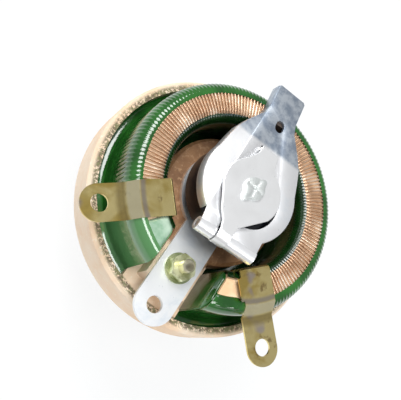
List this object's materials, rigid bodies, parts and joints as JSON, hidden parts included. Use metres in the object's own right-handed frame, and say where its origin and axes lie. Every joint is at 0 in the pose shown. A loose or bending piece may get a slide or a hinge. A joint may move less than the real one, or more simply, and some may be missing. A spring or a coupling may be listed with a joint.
{
  "type": "wirewound rheostat",
  "caption": "Round ceramic rheostat: an open wirewound ring in green enamel, a turning contact arm, three flat terminals, and a threaded bush and shaft for a panel.",
  "frame": {"origin": "centre of the shaft at the panel face, the flat underside of the ceramic base", "axes": "+Z along the shaft, away from the panel and towards the open wiper side; -Y towards the centre terminal; +X to the right of the terminals"},
  "size_m": [0.0635, 0.0667, 0.0572],
  "materials": {
    "base_ceramic": "unglazed cream ceramic, brown and speckled on the boss",
    "core_ceramic": "bare beige ceramic",
    "cement": "set cement, matt",
    "resistance_wire": "bare copper-nickel wire, satin",
    "green_enamel": "glossy green vitreous enamel",
    "yellow_plated": "yellow-passivated plated steel with faint violet and blue",
    "bright_plated": "bright zinc-plated steel sheet",
    "screw_plated": "greenish-yellow plated steel",
    "bush_brass": "turned brass",
    "shaft_steel": "turned steel",
    "hub_black": "black thermoset moulding",
    "fibre": "red-brown fibre washer",
    "graphite": "copper-graphite"
  },
  "bodies": {
    "base": {"ceramic_base": "base_ceramic", "core_cement": "cement", "ring_core": "core_ceramic", "resistance_winding": "resistance_wire", "enamel_coat": "green_enamel", "end_strap_left": "yellow_plated", "end_strap_right": "yellow_plated", "centre_terminal": "bright_plated", "terminal_screw": "screw_plated", "terminal_washer": "screw_plated", "terminal_nut": "screw_plated", "threaded_bush": "bush_brass", "bush_nut": "screw_plated", "thrust_washer": "fibre"},
    "rotor": {"control_shaft": "shaft_steel", "retaining_ring": "shaft_steel", "rotor_hub": "hub_black", "rotor_stud": "shaft_steel", "collector_brush": "graphite", "collector_spring": "shaft_steel", "spring_plate": "bright_plated", "hinge_pin": "shaft_steel"},
    "arm": {"contact_arm": "bright_plated", "contact_brush": "graphite"}
  },
  "joints": [
    {"name": "shaft_turn", "type": "hinge", "parent": "base", "child": "rotor", "pos_m": [0, 0, 0.01], "axis": [0, 0, 1], "range_deg": [-121, 105]},
    {"name": "arm_lift", "type": "hinge", "parent": "rotor", "child": "arm", "pos_m": [0.00181, -0.01287, 0.02865], "axis": [0.9903, 0.1392, 0], "range_deg": [0, 1.4], "stiffness_Nm_per_rad": 0.1, "springref_deg": -28.65}
  ]
}
